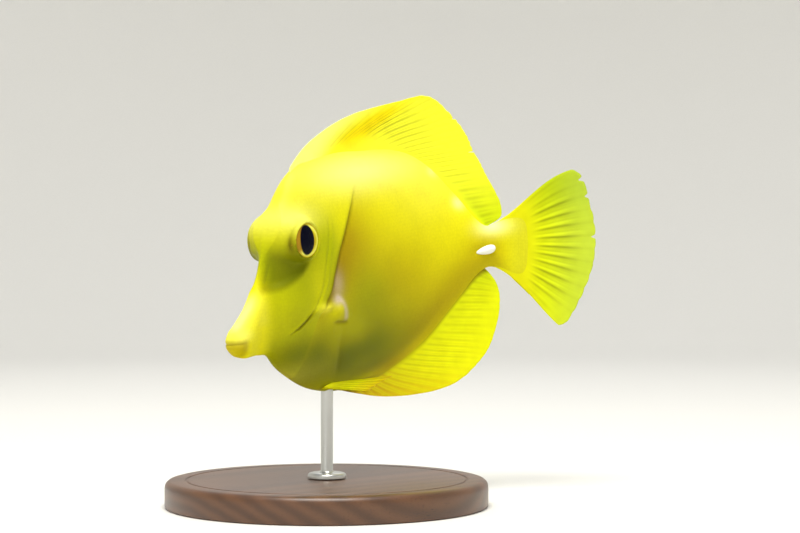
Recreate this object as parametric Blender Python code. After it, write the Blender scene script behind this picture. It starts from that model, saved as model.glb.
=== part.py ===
# Yellow tang (Zebrasoma flavescens): a life-size still model on a plain display stand.
#
# The fish is modelled straight, in a frame of its own: x runs from the snout to the tail, y to its
# right side and z to its back, all in percent of the standard length. Every piece is finished there
# and then laid along the bent spine, in metres, with the head towards -X and the stand's foot at z = 0.
import math

import bmesh
import bpy
import numpy as np
from mathutils import Matrix

STANDARD_LENGTH = 0.100           # snout to the root of the tail fin
UNIT = STANDARD_LENGTH / 100      # one percent of it, the unit of every proportion below
GAP = 0.0003 / UNIT               # clearance where two pieces meet
THINNEST = 0.5                    # least thickness of a fin's membrane
MARGIN = 0.35                     # thickness of its free edge


def curve(*points):
    """A smooth cubic through (station, value) points, as a function of the station."""
    at, value = np.array(points, float).T
    step = np.diff(at)
    rise = np.diff(value) / step
    slope = np.empty_like(value)
    slope[1:-1] = (rise[:-1] * step[1:] + rise[1:] * step[:-1]) / (step[1:] + step[:-1])
    slope[0] = 2 * rise[0] - slope[1]
    slope[-1] = 2 * rise[-1] - slope[-2]

    def read(station):
        station = np.clip(station, at[0], at[-1])
        i = np.clip(np.searchsorted(at, station) - 1, 0, len(step) - 1)
        t = (station - at[i]) / step[i]
        start = (2 * t**3 - 3 * t**2 + 1) * value[i] + (t**3 - 2 * t**2 + t) * step[i] * slope[i]
        end = (3 * t**2 - 2 * t**3) * value[i + 1] + (t**3 - t**2) * step[i] * slope[i + 1]
        return start + end

    return read


# Body: the outline in side view, the half width, the height at which it is widest, and the power
# that sharpens the back (1 is an ellipse).
SNOUT = -1.0                      # front of the lips; the corner of the mouth is station 0
NOSE_ROUND = 1.8                  # length over which the snout rounds off
TAIL_ROOT = 99.5                  # end of the tail's flesh
BACK = curve((-2, -10.2), (5, -5.9), (8, -3.3), (10, -0.8), (12, 2.4), (14.5, 8.0), (17, 13.4), (20, 18),
             (24, 22.7), (30, 28.6),
             (40, 32), (52, 33), (62, 32), (70, 29.3), (77, 25.5), (84, 19), (90, 11.8), (95, 6.4),
             (101, 5.2))
BELLY = curve((-2, -14.8), (3, -16.6), (10, -17), (14, -17.8), (18, -21.6), (23, -25), (28, -27.8),
              (35, -30.2), (41, -31.2), (47, -31.2), (54, -30), (62, -27.4), (68, -24.8), (75, -20.4),
              (82, -14.4), (88, -9.6), (94, -6.6), (101, -6.1))
HALF_WIDTH = curve((-2, 2.4), (2, 3.2), (6, 2.8), (10, 2.6), (14, 3.3), (18, 5.0), (22, 6.5), (30, 8.0),
                   (40, 8.4), (55, 7.7), (70, 6.0), (82, 4.2), (92, 2.9), (101, 1.9))
WIDEST = curve((-2, -12.3), (5, -11), (10, -6), (16, -2), (22, 2), (30, 2), (80, 2), (94, 0.5), (101, 0))
KEEL = curve((-2, 1), (12, 1), (18, 0.8), (24, 0.9), (32, 1.15), (40, 1.1), (60, 1), (101, 1))

# Head.
EYE_X, EYE_Z = 23.0, 10.5
EYE_RADIUS = 4.6
EYE_DEPTH = 2.7                   # half thickness of the eyeball's lens shape
EYE_FRONT = 8.2                   # how far the cornea stands from the midline
EYE_TURN = math.radians(7)        # the eyes look a little forward
SWELLING = (8.6, 5.6)             # radius and half width of the soft swelling under an eye
ORBIT = ((7.8, 1.0), (7.5, 3.0), (7.0, 4.6), (6.4, 5.7), (5.8, 6.5), (5.45, 6.95), (5.2, 7.2), (4.95, 7.2))
MOUTH = ((-4, -12.3), (0.7, -12.55), (0.7, -12.95), (-4, -12.9))     # the slit between the lips, in x and z
NOSTRIL = ((17.0, 8.3), (17.5, 8.2), (17.8, 9.9), (17.7, 11.8), (17.2, 12.1), (16.8, 10.2))
NOSTRIL_FLOOR = 4.6               # half width at the bottom of the nostril
COVER_LIFT = 0.25                 # the gill cover stands proud of the cheek
COVER_THICKNESS = 1.5

# Where the body is parted: behind the gill openings and across the root of the tail.
GILL_LINE = curve((-60, 22), (-20, 24), (-14, 27), (-6.5, 30.8), (2, 34.8), (8, 38.2), (15, 43.3), (19, 46.4),
                  (22, 47.4), (25, 44.5), (28, 39.5), (31, 35), (34, 32), (60, 31))      # height to station
TAIL_CUT = 86.0

PECTORAL_BASE = (35.0, -9.4)      # middle of the fleshy foot of the pectoral fin

# Pose: the spine's heading seen from above and its rise towards the tail, in degrees.
HEADING = curve((-6, 14), (30, 12), (60, 1), (85, -18), (100, -32), (130, -42))
RISE = curve((-6, 7), (60, 7), (95, 7), (108, 0), (130, 0))

# Stand.
BASE_RADIUS = 42
BASE_HEIGHT = 7
BASE_CHAMFER = 1.2
CLEAR_HEIGHT = 20                 # from the top of the base to the lowest point of the fish
ROD_RADIUS = 1.6
ROD_STATION = 38                  # where the rod enters the belly
ROD_DEPTH = 5
FLANGE_RADIUS = 5
FLANGE_HEIGHT = 1.4

# Mesh density.
COLUMNS = 40                      # round the body
SHARP_ANGLE = math.radians(35)
LEAST_RADIUS = 0.2                # a shrunken body keeps this much everywhere
SIDES = {-1: "left", 1: "right"}


# ------------------------------------------------------------------ shared tools

def finished(name, form):
    """Turn a closed bmesh into an object of its own, with its faces outwards."""
    bmesh.ops.recalc_face_normals(form, faces=form.faces)
    mesh = bpy.data.meshes.new(name)
    form.to_mesh(mesh)
    form.free()
    item = bpy.data.objects.new(name, mesh)
    bpy.context.collection.objects.link(item)
    return item


def mesh_object(name, vertices, faces):
    form = bmesh.new()
    corners = [form.verts.new(v) for v in vertices]
    for face in faces:
        form.faces.new([corners[i] for i in face])
    return finished(name, form)


def grid_object(name, grid):
    """A tube through the rows of a grid of points, closed by a flat face at each end."""
    rows, columns = grid.shape[:2]
    faces = [list(range(columns)), list(range((rows - 1) * columns, rows * columns))]
    for row in range(rows - 1):
        for column in range(columns):
            after = (column + 1) % columns
            corners = ((row, column), (row, after), (row + 1, after), (row + 1, column))
            faces.append([r * columns + c for r, c in corners])
    return mesh_object(name, grid.reshape(-1, 3), faces)


def prism(name, outline, low, high):
    """An outline in x and z, drawn out from y = low to y = high."""
    count = len(outline)
    vertices = [(x, y, z) for y in (low, high) for x, z in outline]
    faces = [list(range(count)), list(range(count, 2 * count))]
    for i in range(count):
        after = (i + 1) % count
        faces.append([i, after, count + after, count + i])
    return mesh_object(name, vertices, faces)


def combine(target, tool, operation, solver="EXACT"):
    """Apply one Boolean to the target and remove the tool."""
    step = target.modifiers.new(operation.title(), "BOOLEAN")
    step.object, step.operation, step.solver = tool, operation, solver
    graph = bpy.context.evaluated_depsgraph_get()
    mesh = bpy.data.meshes.new_from_object(target.evaluated_get(graph))
    target.modifiers.clear()
    old = target.data
    target.data = mesh
    bpy.data.meshes.remove(old)
    bpy.data.objects.remove(tool)


def keep_largest(item):
    """Keep only the largest closed surface of a mesh."""
    form = bmesh.new()
    form.from_mesh(item.data)
    left = set(form.verts)
    shells = []
    while left:
        shell, edge = set(), [left.pop()]
        while edge:
            vertex = edge.pop()
            shell.add(vertex)
            for link in vertex.link_edges:
                other = link.other_vert(vertex)
                if other in left:
                    left.remove(other)
                    edge.append(other)
        shells.append(shell)
    shells.sort(key=len)
    bmesh.ops.delete(form, geom=[v for shell in shells[:-1] for v in shell], context="VERTS")
    form.to_mesh(item.data)
    form.free()


def blob(x, z, at, size):
    """A soft round swelling of height 1 in side view."""
    return np.exp(-((x - at[0]) / size[0]) ** 2 - ((z - at[1]) / size[1]) ** 2)


# ------------------------------------------------------------------ body

def relief(x, y, z):
    """How far the head's forms stand out of the plain lens of the body."""
    side = np.clip(np.abs(y) / 3, 0, 1)
    height = -0.9 * blob(x, z, (15, 3), (4.0, 5.0))
    height += 0.4 * blob(x, z, (19, -6), (6, 4))
    height += 0.8 * blob(x, z, PECTORAL_BASE, (3.0, 2.4))
    lips = 0.35 * np.exp(-((x + 0.4) / 0.9) ** 2) - 0.2 * np.exp(-((x - 2.4) / 0.9) ** 2)
    return height * side + lips


def eye_swelling(x, y, z):
    """The half width y where the swelling round the eye has lifted it, soft at its foot."""
    radius, height = SWELLING
    away = np.hypot(x - EYE_X, z - EYE_Z)
    target = (height - math.tan(EYE_TURN) * (EYE_X - x)) * np.exp(-(away / radius) ** 4)
    lifted = (y + target + np.sqrt((y - target) ** 2 + 0.6)) / 2 - 0.1
    return y + np.maximum(lifted - y, 0) * np.clip(y / 2, 0, 1)


def body_grid(stations, grow=0.0):
    """Points round the body: rows by station, columns from the back round the right side."""
    angle = np.linspace(0, 2 * np.pi, COLUMNS, endpoint=False)[None, :]
    x = np.asarray(stations, float)[:, None] + 0 * angle
    nose = np.clip(1 - (x - SNOUT) / NOSE_ROUND, 0, 1)
    nose = np.sqrt(1 - nose**2)
    up = np.maximum((BACK(x) - WIDEST(x)) * nose + grow, LEAST_RADIUS)
    down = np.maximum((WIDEST(x) - BELLY(x)) * nose + grow, LEAST_RADIUS)
    rise = np.where(np.cos(angle) > 0, up, -down) * np.abs(np.cos(angle)) ** KEEL(x)
    y = np.maximum(HALF_WIDTH(x) * nose + grow, LEAST_RADIUS) * np.sin(angle)
    points = np.stack([x, y, WIDEST(x) + rise], -1)
    around = np.roll(points, -1, 1) - np.roll(points, 1, 1)
    along = np.gradient(points, axis=0)
    normal = np.cross(around, along)
    normal /= np.maximum(np.linalg.norm(normal, axis=2, keepdims=True), 1e-9)
    points = points + normal * relief(x, y, points[..., 2])[..., None]
    x, y, z = np.moveaxis(points, 2, 0)
    points[..., 1] = np.sign(y) * eye_swelling(x, np.abs(y), z)
    return points


def body(name, grow=0.0):
    """The whole body without its fins, closed at the snout and at the root of the tail fin."""
    snout = SNOUT + NOSE_ROUND * (1 - np.cos(np.radians([8, 28, 48, 68])))
    head = np.arange(SNOUT + NOSE_ROUND * 0.9, 32, 1.25)
    trunk = np.arange(33.5, 84, 2.8)
    tail = np.arange(85.5, TAIL_ROOT - 1, 2.2)
    stations = np.concatenate([snout, head, trunk, tail, [TAIL_ROOT]])
    grid = body_grid(stations, grow)
    if grow:
        grid[0, :, 0] -= grow
        grid[-1, :, 0] += grow
    return grid_object(name, grid)


def gill_edge(shift):
    """The parting line behind the head as points from the throat to the nape, moved along x."""
    height = np.concatenate([[-60, -40], np.arange(-24, 36, 1.5), [45, 60]])
    slope = np.gradient(GILL_LINE(height), height)
    return [(GILL_LINE(z) + shift * math.hypot(1, s), z) for z, s in zip(height, slope)]


def ahead_of_gills(name, shift):
    return prism(name, gill_edge(shift) + [(-20, 60), (-20, -60)], -30, 30)


def widened(outline, distance):
    """An outline drawn clockwise, with every edge moved outwards."""
    corners = np.array(outline, float)
    edge = np.roll(corners, -1, 0) - corners
    edge /= np.linalg.norm(edge, axis=1, keepdims=True)
    after = np.stack([-edge[:, 1], edge[:, 0]], -1)
    before = np.roll(after, 1, 0)
    away = (before + after) / (1 + (before * after).sum(1, keepdims=True))
    return [tuple(corner) for corner in corners + away * distance]


def cover_outline(grow):
    """Outline of the gill cover: the cheek's rear edge in front, past the gill opening behind."""
    front = [(42, 21.6), (36.4, 17.4), (33.2, 13), (31.4, 8), (30.6, 2.5), (29, -2.5), (25.6, -8),
             (20.8, -12), (17.2, -13.6)]
    lower = [(20, -16), (26, -16.6)]
    behind = [(34, -10), (40, 0), (46, 10), (51, 18), (50, 22.4), (46, 23.2)]
    return widened((front + lower + behind)[::-1], grow)


def ellipsoid(name, centre, size, turn=0.0, segments=20, rings=10):
    """A ball stretched to its half sizes, with its poles across the fish, turned about z."""
    place = Matrix.Translation(centre) @ Matrix.Rotation(turn, 4, "Z") @ Matrix.Diagonal((*size, 1))
    place = place @ Matrix.Rotation(math.radians(90), 4, "X")
    form = bmesh.new()
    bmesh.ops.create_uvsphere(form, u_segments=segments, v_segments=rings, radius=1, matrix=place)
    return finished(name, form)


def orbit(side):
    """The dome of skin that an eye sits in, with its low rim; ORBIT is radius and half width."""
    segments = 28
    grid = np.array([[(EYE_X + r * math.cos(a), side * y, EYE_Z + r * math.sin(a))
                      for a in np.linspace(0, 2 * np.pi, segments, endpoint=False)] for r, y in ORBIT])
    grid[..., 1] += side * math.tan(EYE_TURN) * (grid[..., 0] - EYE_X)
    return grid_object("orbit", grid)


def eyeball(name, side, grow=0.0):
    centre = (EYE_X, side * (EYE_FRONT - EYE_DEPTH), EYE_Z)
    size = (EYE_RADIUS + grow, EYE_DEPTH + grow, EYE_RADIUS + grow)
    return ellipsoid(name, centre, size, turn=side * EYE_TURN)


def build_head():
    """Head with eye sockets, nostrils, the mouth's slit and a pocket for each gill cover."""
    head = body("head")
    combine(head, ahead_of_gills("edge", -GAP / 2), "INTERSECT")
    combine(head, prism("mouth", MOUTH, -6, 6), "DIFFERENCE")
    for side in SIDES:
        combine(head, orbit(side), "UNION")
        combine(head, eyeball("socket", side, GAP), "DIFFERENCE")
        combine(head, prism("nostril", NOSTRIL, *sorted((side * NOSTRIL_FLOOR, side * 15))), "DIFFERENCE")
        pocket = prism("pocket", cover_outline(GAP), *sorted((side * 2, side * 15)))
        combine(pocket, body("core", -COVER_THICKNESS - GAP), "DIFFERENCE")
        combine(head, pocket, "DIFFERENCE")
    keep_largest(head)
    return [head]


def build_gill_covers():
    covers = []
    for side, word in SIDES.items():
        cover = body("gill_cover_" + word, COVER_LIFT)
        combine(cover, ahead_of_gills("edge", -GAP / 2), "INTERSECT")
        combine(cover, prism("plate", cover_outline(0), *sorted((side * 2, side * 15))), "INTERSECT")
        combine(cover, body("core", -COVER_THICKNESS), "DIFFERENCE")
        keep_largest(cover)
        covers.append(cover)
    return covers


def build_trunk():
    trunk = body("trunk")
    combine(trunk, ahead_of_gills("edge", GAP / 2), "DIFFERENCE")
    rear = TAIL_CUT - GAP / 2
    combine(trunk, prism("behind", [(rear, -60), (200, -60), (200, 60), (rear, 60)], -30, 30), "DIFFERENCE")
    keep_largest(trunk)
    return [trunk]


def build_tail():
    tail = body("tail")
    front = TAIL_CUT + GAP / 2
    combine(tail, prism("ahead", [(-60, -60), (front, -60), (front, 60), (-60, 60)], -30, 30), "DIFFERENCE")
    for side in SIDES:
        combine(tail, tail_spine("groove", side, GAP), "DIFFERENCE")
    keep_largest(tail)
    return [tail]


# ------------------------------------------------------------------ tail spines and eyes

SPINE_X, SPINE_Z = 96.0, -1.4
SPINE_LENGTH = 6.0
SPINE_HEIGHT = 2.3


def tail_spine(name, side, grow=0.0):
    """The white blade that lies folded in its groove, on the side of the tail's root."""
    size = (SPINE_LENGTH / 2 + grow, 1.0 + grow, SPINE_HEIGHT / 2 + grow)
    centre = (SPINE_X, side * (HALF_WIDTH(SPINE_X) - 0.1), SPINE_Z)
    return ellipsoid(name, centre, size, segments=12, rings=8)


def build_tail_spines():
    return [tail_spine("tail_spine_" + word, side) for side, word in SIDES.items()]


def build_eyes():
    return [eyeball("eye_" + word, side) for side, word in SIDES.items()]


# ------------------------------------------------------------------ fins

def straight(t):
    return 0.0


def membrane(name, root, tip, across, thickness, rays, ridge, rows=6, bow=straight, scallop=0.0):
    """A closed fin: a grid from root to tip with a ray on every other column, raised in both faces.

    root, tip, across and bow are functions of t (0 at the leading ray, 1 at the last): the two ends of
    a ray, the unit vector through the membrane and how far the ray curves in it. thickness is (at the
    root, at the tip)."""
    columns = 2 * rays - 1
    left, right = [], []
    for column in range(columns):
        t = column / (columns - 1)
        is_ray = column % 2 == 0
        start, end, through = np.array(root(t)), np.array(tip(t)), np.array(across(t))
        run = end - start
        if not is_ray:
            run = run * (1 - scallop)
        bend = np.cross(run, through) * bow(t) * 6.75
        for row in range(rows + 1):
            v = row / rows
            point = start + run * v + bend * v * v * (1 - v)
            half = (thickness[0] + (thickness[1] - thickness[0]) * v**0.7) / 2
            half += ridge * (1 - 0.5 * v) if is_ray else 0
            if row == rows:
                half = MARGIN / 2
            left.append(point - through * half)
            right.append(point + through * half)
    count = len(left)
    faces = []
    for column in range(columns - 1):
        for row in range(rows):
            a = column * (rows + 1) + row
            b, c, d = a + 1, a + rows + 2, a + rows + 1
            for face in ((a, b, c), (a, c, d)):
                faces.append(face)
                faces.append([i + count for i in face])
    rim = [row for row in range(rows + 1)]
    rim += [column * (rows + 1) + rows for column in range(1, columns)]
    rim += [(columns - 1) * (rows + 1) + row for row in range(rows - 1, -1, -1)]
    rim += [column * (rows + 1) for column in range(columns - 2, 0, -1)]
    for i, a in enumerate(rim):
        b = rim[(i + 1) % len(rim)]
        faces.append((a, b, b + count))
        faces.append((a, b + count, a + count))
    return mesh_object(name, left + right, faces)


def sideways(t):
    return (0, 1, 0)


# Median fins: for the base of each ray, the station and height of its tip.
DORSAL_SPAN = (28.5, 96.5)
DORSAL_TIP_X = curve((28.5, 31), (31, 37), (34, 47), (38, 58), (42, 68), (46, 77), (50, 84.2), (56, 88.6),
                     (62, 91.2), (68, 93.2), (74, 95), (80, 97), (86, 98.6), (90, 100), (94, 101.5), (96.5, 100.5))
DORSAL_TIP_Z = curve((28.5, 29.8), (31, 33.8), (34, 38.2), (38, 40.3), (42, 41.4), (46, 42.3), (50, 43), (56, 41),
                     (62, 38), (68, 34.2), (74, 30), (80, 24.5), (86, 19), (90, 14.6), (94, 10), (96.5, 7.2))
ANAL_SPAN = (42.5, 95)
ANAL_TIP_X = curve((42.5, 46), (46, 54), (50, 64.5), (54, 73), (58, 81), (62, 86.3), (66, 90), (70, 93),
                   (75, 96), (80, 98.6), (85, 99.6), (90, 99.4), (95, 98))
ANAL_TIP_Z = curve((42.5, -32.4), (46, -34.5), (50, -36.8), (54, -37.7), (58, -36.8), (62, -34.5), (66, -31.8),
                   (70, -28.6), (75, -24.6), (80, -19.5), (85, -14.6), (90, -10.9), (95, -7.4))
FIN_SINK = 1.6                    # how deep a fin's root starts inside the body before it is trimmed


def trim_to_body(fin, solver="EXACT"):
    """Cut the root of a fin clear of the body by the usual gap."""
    combine(fin, body("body", GAP), "DIFFERENCE", solver)
    keep_largest(fin)
    return fin


def build_dorsal_fin(rays=29, ridge=0.17):
    first, last = DORSAL_SPAN

    def base(t):
        x = first + (last - first) * t
        return (x, 0, BACK(x) - FIN_SINK)

    def tip(t):
        x = first + (last - first) * t
        return (DORSAL_TIP_X(x), 0, DORSAL_TIP_Z(x))

    fin = membrane("dorsal_fin", base, tip, sideways, (1.5, THINNEST), rays, ridge, rows=5,
                   bow=lambda t: 0.05, scallop=0.03)
    return [trim_to_body(fin)]


def build_anal_fin(rays=23, ridge=0.17):
    first, last = ANAL_SPAN

    def base(t):
        x = first + (last - first) * t
        return (x, 0, BELLY(x) + FIN_SINK)

    def tip(t):
        x = first + (last - first) * t
        return (ANAL_TIP_X(x), 0, ANAL_TIP_Z(x))

    fin = membrane("anal_fin", base, tip, sideways, (1.5, THINNEST), rays, ridge, rows=5,
                   bow=lambda t: -0.05, scallop=0.03)
    return [trim_to_body(fin)]


CAUDAL_ROOT = 97.5
CAUDAL_HALF_ROOT = 5.2
CAUDAL_TILT = math.radians(-2)
CAUDAL_SPREAD = math.radians(44.4)  # each way from the tail's axis
CAUDAL_LENGTH = curve((0, 31.2), (0.07, 32.3), (0.2, 31.4), (0.5, 30.5), (0.8, 31), (0.93, 31.2),
                      (1, 30.4))
CAUDAL_MIDDLE = -0.5


def build_caudal_fin(rays=16, ridge=0.2):
    def base(t):
        return (CAUDAL_ROOT, 0, CAUDAL_MIDDLE + CAUDAL_HALF_ROOT * (1 - 2 * t))

    def tip(t):
        turn = CAUDAL_TILT + CAUDAL_SPREAD * (1 - 2 * t)
        length = CAUDAL_LENGTH(t)
        return (CAUDAL_ROOT + length * math.cos(turn), 0, CAUDAL_MIDDLE + length * math.sin(turn))

    fin = membrane("caudal_fin", base, tip, sideways, (2.2, THINNEST), rays, ridge,
                   bow=lambda t: 0.045 * (1 - 2 * t), scallop=0.02)
    return [trim_to_body(fin)]


def paired_fin(name, side, root, tip, rays, ridge):
    """A flat fin of one flank; root and tip are given for the right side."""
    def mirrored(place):
        return lambda t: tuple(np.array(place(t)) * (1, side, 1))

    first, last = (np.subtract(mirrored(tip)(t), mirrored(root)(t)) for t in (0, 1))
    across = np.cross(first, last)
    across /= np.linalg.norm(across)
    fin = membrane(name, mirrored(root), mirrored(tip), lambda t: across, (1.0, THINNEST), rays, ridge,
                   rows=5, scallop=0.03)
    return trim_to_body(fin, "MANIFOLD")


def pectoral_root(t):
    x, z = PECTORAL_BASE
    return (x + 1.0 - 2.4 * t, 6.6, z + 1.2 - 3.4 * t)


def pectoral_tip(t):
    x, z = PECTORAL_BASE
    turn = math.radians(-24 - 82 * t)
    length = 23 - 17 * t + 8 * t * t
    return (x + length * math.cos(turn), 9.3 + length * (0.36 - 0.22 * t), z + length * math.sin(turn))


PELVIC_X, PELVIC_Z = 32.5, -28.8


def pelvic_root(t):
    return (PELVIC_X + 2.5 * t, 2.4 + 0.4 * t, PELVIC_Z + 0.6 + 1.0 * t)


def pelvic_tip(t):
    turn = math.radians(-10 + 11 * t)
    length = 13.5 + 8.5 * math.sin(2.3 * t) - 2 * t
    return (PELVIC_X + length * math.cos(turn), 3.6 + 1.4 * t, PELVIC_Z + length * math.sin(turn))


def build_paired_fins():
    fins = []
    for side, word in SIDES.items():
        fins.append(paired_fin("pectoral_fin_" + word, side, pectoral_root, pectoral_tip, 14, 0.12))
        fins.append(paired_fin("pelvic_fin_" + word, side, pelvic_root, pelvic_tip, 6, 0.16))
    return fins


# ------------------------------------------------------------------ pose and stand

SPINE_STEP = 0.25
SPINE_STATIONS = np.arange(-8, 140, SPINE_STEP)


def spine_line():
    """The bent spine, as a point for each of its stations."""
    heading, rise = np.radians(HEADING(SPINE_STATIONS)), np.radians(RISE(SPINE_STATIONS))
    way = np.stack([np.cos(rise) * np.cos(heading), np.cos(rise) * np.sin(heading), np.sin(rise)], -1)
    steps = (way[1:] + way[:-1]) / 2 * SPINE_STEP
    return np.concatenate([np.zeros((1, 3)), np.cumsum(steps, axis=0)])


def posed(points):
    """Points of the straight fish, laid along the bent spine; still in percent."""
    x, y, z = points[:, :1], points[:, 1:2], points[:, 2:]
    line = spine_line()
    centre = np.concatenate([np.interp(x, SPINE_STATIONS, line[:, i]) for i in range(3)], axis=1)
    heading, rise = np.radians(HEADING(x)), np.radians(RISE(x))
    aside = np.concatenate([-np.sin(heading), np.cos(heading), 0 * heading], axis=1)
    lean = -np.sin(rise)
    upward = np.concatenate([lean * np.cos(heading), lean * np.sin(heading), np.cos(rise)], axis=1)
    return centre + y * aside + z * upward


def read_points(item):
    points = np.empty(len(item.data.vertices) * 3)
    item.data.vertices.foreach_get("co", points)
    return points.reshape(-1, 3)


def write_points(item, points):
    item.data.vertices.foreach_set("co", points.ravel())
    item.data.update()


def place_fish(pieces):
    """Pose every piece, over the middle of the stand's base, and turn percent into metres."""
    for piece in pieces:
        write_points(piece, posed(read_points(piece)))
    lowest = min(read_points(piece)[:, 2].min() for piece in pieces)
    entry = posed(np.array([[ROD_STATION, 0, BELLY(ROD_STATION)]]))[0]
    shift = np.array([-entry[0], -entry[1], BASE_HEIGHT + CLEAR_HEIGHT - lowest])
    for piece in pieces:
        write_points(piece, (read_points(piece) + shift) * UNIT)
    return (entry + shift)[2]


def turned(name, profile, segments):
    """A solid turned about z from (radius, height) points, in metres."""
    angles = np.linspace(0, 2 * np.pi, segments, endpoint=False)
    grid = np.array([[(r * math.cos(a), r * math.sin(a), z) for a in angles] for r, z in profile]) * UNIT
    return grid_object(name, grid)


def build_stand(belly, trunk):
    """A round base and one rod, let into a hole in the belly."""
    base = turned("stand_base", [(BASE_RADIUS, 0), (BASE_RADIUS, BASE_HEIGHT - BASE_CHAMFER),
                                 (BASE_RADIUS - BASE_CHAMFER, BASE_HEIGHT)], 64)
    foot = BASE_HEIGHT + GAP
    top = belly + ROD_DEPTH
    collar = foot + FLANGE_HEIGHT
    rod = turned("stand_rod", [(FLANGE_RADIUS, foot), (FLANGE_RADIUS, foot + FLANGE_HEIGHT * 0.6),
                               (FLANGE_RADIUS * 0.8, collar), (ROD_RADIUS, collar), (ROD_RADIUS, top)], 20)
    hole = ROD_RADIUS + GAP
    combine(trunk, turned("hole", [(hole, belly - 10), (hole, top + GAP)], 20), "DIFFERENCE")
    keep_largest(trunk)
    return [base, rod]


# ------------------------------------------------------------------ colours

FINISHES = {
    "skin": ((0.92, 0.80, 0.02), 0.45, 0.0),
    "fin": ((0.95, 0.88, 0.03), 0.40, 0.0),
    "clear_fin": ((0.75, 0.76, 0.30), 0.35, 0.0),
    "eye": ((0.02, 0.02, 0.05), 0.10, 0.0),
    "spine": ((0.90, 0.90, 0.85), 0.35, 0.0),
    "base": ((0.09, 0.05, 0.03), 0.40, 0.0),
    "rod": ((0.62, 0.62, 0.60), 0.30, 1.0),
}
FINISH_OF = {
    "dorsal_fin": "fin", "anal_fin": "fin", "caudal_fin": "fin",
    "pelvic_fin_left": "fin", "pelvic_fin_right": "fin",
    "pectoral_fin_left": "clear_fin", "pectoral_fin_right": "clear_fin",
    "eye_left": "eye", "eye_right": "eye",
    "tail_spine_left": "spine", "tail_spine_right": "spine",
    "stand_base": "base", "stand_rod": "rod",
}


def paint(item):
    """Give a piece a material of its own and shade its round parts smooth."""
    colour, roughness, metallic = FINISHES[FINISH_OF.get(item.name, "skin")]
    material = bpy.data.materials.new(item.name)
    material.use_nodes = True
    shader = material.node_tree.nodes["Principled BSDF"]
    shader.inputs["Base Color"].default_value = (*colour, 1)
    shader.inputs["Roughness"].default_value = roughness
    shader.inputs["Metallic"].default_value = metallic
    item.data.materials.clear()
    item.data.materials.append(material)
    item.data.shade_smooth()
    item.data.set_sharp_from_angle(angle=SHARP_ANGLE)


def main():
    for item in list(bpy.data.objects):
        bpy.data.objects.remove(item)
    pieces = build_head() + build_gill_covers() + build_trunk() + build_tail()
    pieces += build_eyes() + build_tail_spines()
    pieces += build_dorsal_fin() + build_anal_fin() + build_caudal_fin()
    pieces += build_paired_fins()
    belly = place_fish(pieces)
    trunk = next(piece for piece in pieces if piece.name == "trunk")
    pieces += build_stand(belly, trunk)
    for piece in pieces:
        paint(piece)


main()
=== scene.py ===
# A yellow tang, life size, as a still museum model on a plain display stand.
#
# The fish is shaped straight, in its own frame: x from the snout to the tail, y to its right flank
# and z to its back, in percent of the standard length, which are also millimetres. Every piece is
# then laid along the bent spine and set down on the rod of the stand, in metres.
import math

import bpy
import numpy as np
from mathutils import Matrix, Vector


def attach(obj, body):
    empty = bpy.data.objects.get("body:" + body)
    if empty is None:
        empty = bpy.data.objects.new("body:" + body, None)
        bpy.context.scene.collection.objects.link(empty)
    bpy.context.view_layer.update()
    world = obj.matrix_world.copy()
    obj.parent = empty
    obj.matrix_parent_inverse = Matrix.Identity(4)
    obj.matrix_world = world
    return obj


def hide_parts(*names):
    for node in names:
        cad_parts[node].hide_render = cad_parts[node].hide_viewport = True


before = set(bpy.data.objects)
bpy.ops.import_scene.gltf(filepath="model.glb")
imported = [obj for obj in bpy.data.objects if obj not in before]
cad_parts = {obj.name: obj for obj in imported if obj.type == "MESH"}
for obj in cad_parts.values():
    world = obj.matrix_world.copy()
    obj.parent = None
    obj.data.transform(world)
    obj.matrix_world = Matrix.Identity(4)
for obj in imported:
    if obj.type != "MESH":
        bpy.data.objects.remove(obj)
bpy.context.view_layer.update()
print("frame loaded:", len(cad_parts), "solids")


# small helpers

def curve(*points):
    # a smooth line through the points, as a function of their first number
    at, value = np.array(points, float).T
    step = np.diff(at)
    rise = np.diff(value) / step
    slope = np.empty(len(at))
    slope[1:-1] = (rise[:-1] * step[1:] + rise[1:] * step[:-1]) / (step[1:] + step[:-1])
    slope[0] = 2 * rise[0] - slope[1]
    slope[-1] = 2 * rise[-1] - slope[-2]

    def read(place):
        place = np.clip(place, at[0], at[-1])
        i = np.clip(np.searchsorted(at, place) - 1, 0, len(at) - 2)
        t = (place - at[i]) / step[i]
        return ((1 + 2 * t) * (1 - t) ** 2 * value[i] + t * (1 - t) ** 2 * step[i] * slope[i]
                + t * t * (3 - 2 * t) * value[i + 1] + t * t * (t - 1) * step[i] * slope[i + 1])

    return read


def steady(value):
    # the same value everywhere, where no curve is needed
    return lambda place: value + 0 * place


def between(low, high, value):
    # soft step, 0 below low and 1 above high
    t = np.clip((value - low) / (high - low), 0, 1)
    return t * t * (3 - 2 * t)


def band(low, lowEnd, highEnd, high, value):
    # 1 between the two ends, and softly down to 0 at low and high
    return between(low, lowEnd, value) * (1 - between(highEnd, high, value))


def groove(distance, width):
    return np.exp(-(distance / width) ** 2)


def hills(x, z, rows):
    # sum of round hills on the flank, each with its height, its place and its reach
    return sum(height * groove(x - at[0], reach[0]) * groove(z - at[1], reach[1])
               for height, at, reach in rows)


def softMax(a, b, blend):
    return (a + b + np.sqrt((a - b) ** 2 + blend * blend)) / 2


def linear(hexColour):
    # sRGB hex to the linear colour that a socket takes
    parts = [int(hexColour[i:i + 2], 16) / 255 for i in (0, 2, 4)]
    return [p / 12.92 if p <= 0.04045 else ((p + 0.055) / 1.055) ** 2.4 for p in parts] + [1]


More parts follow.
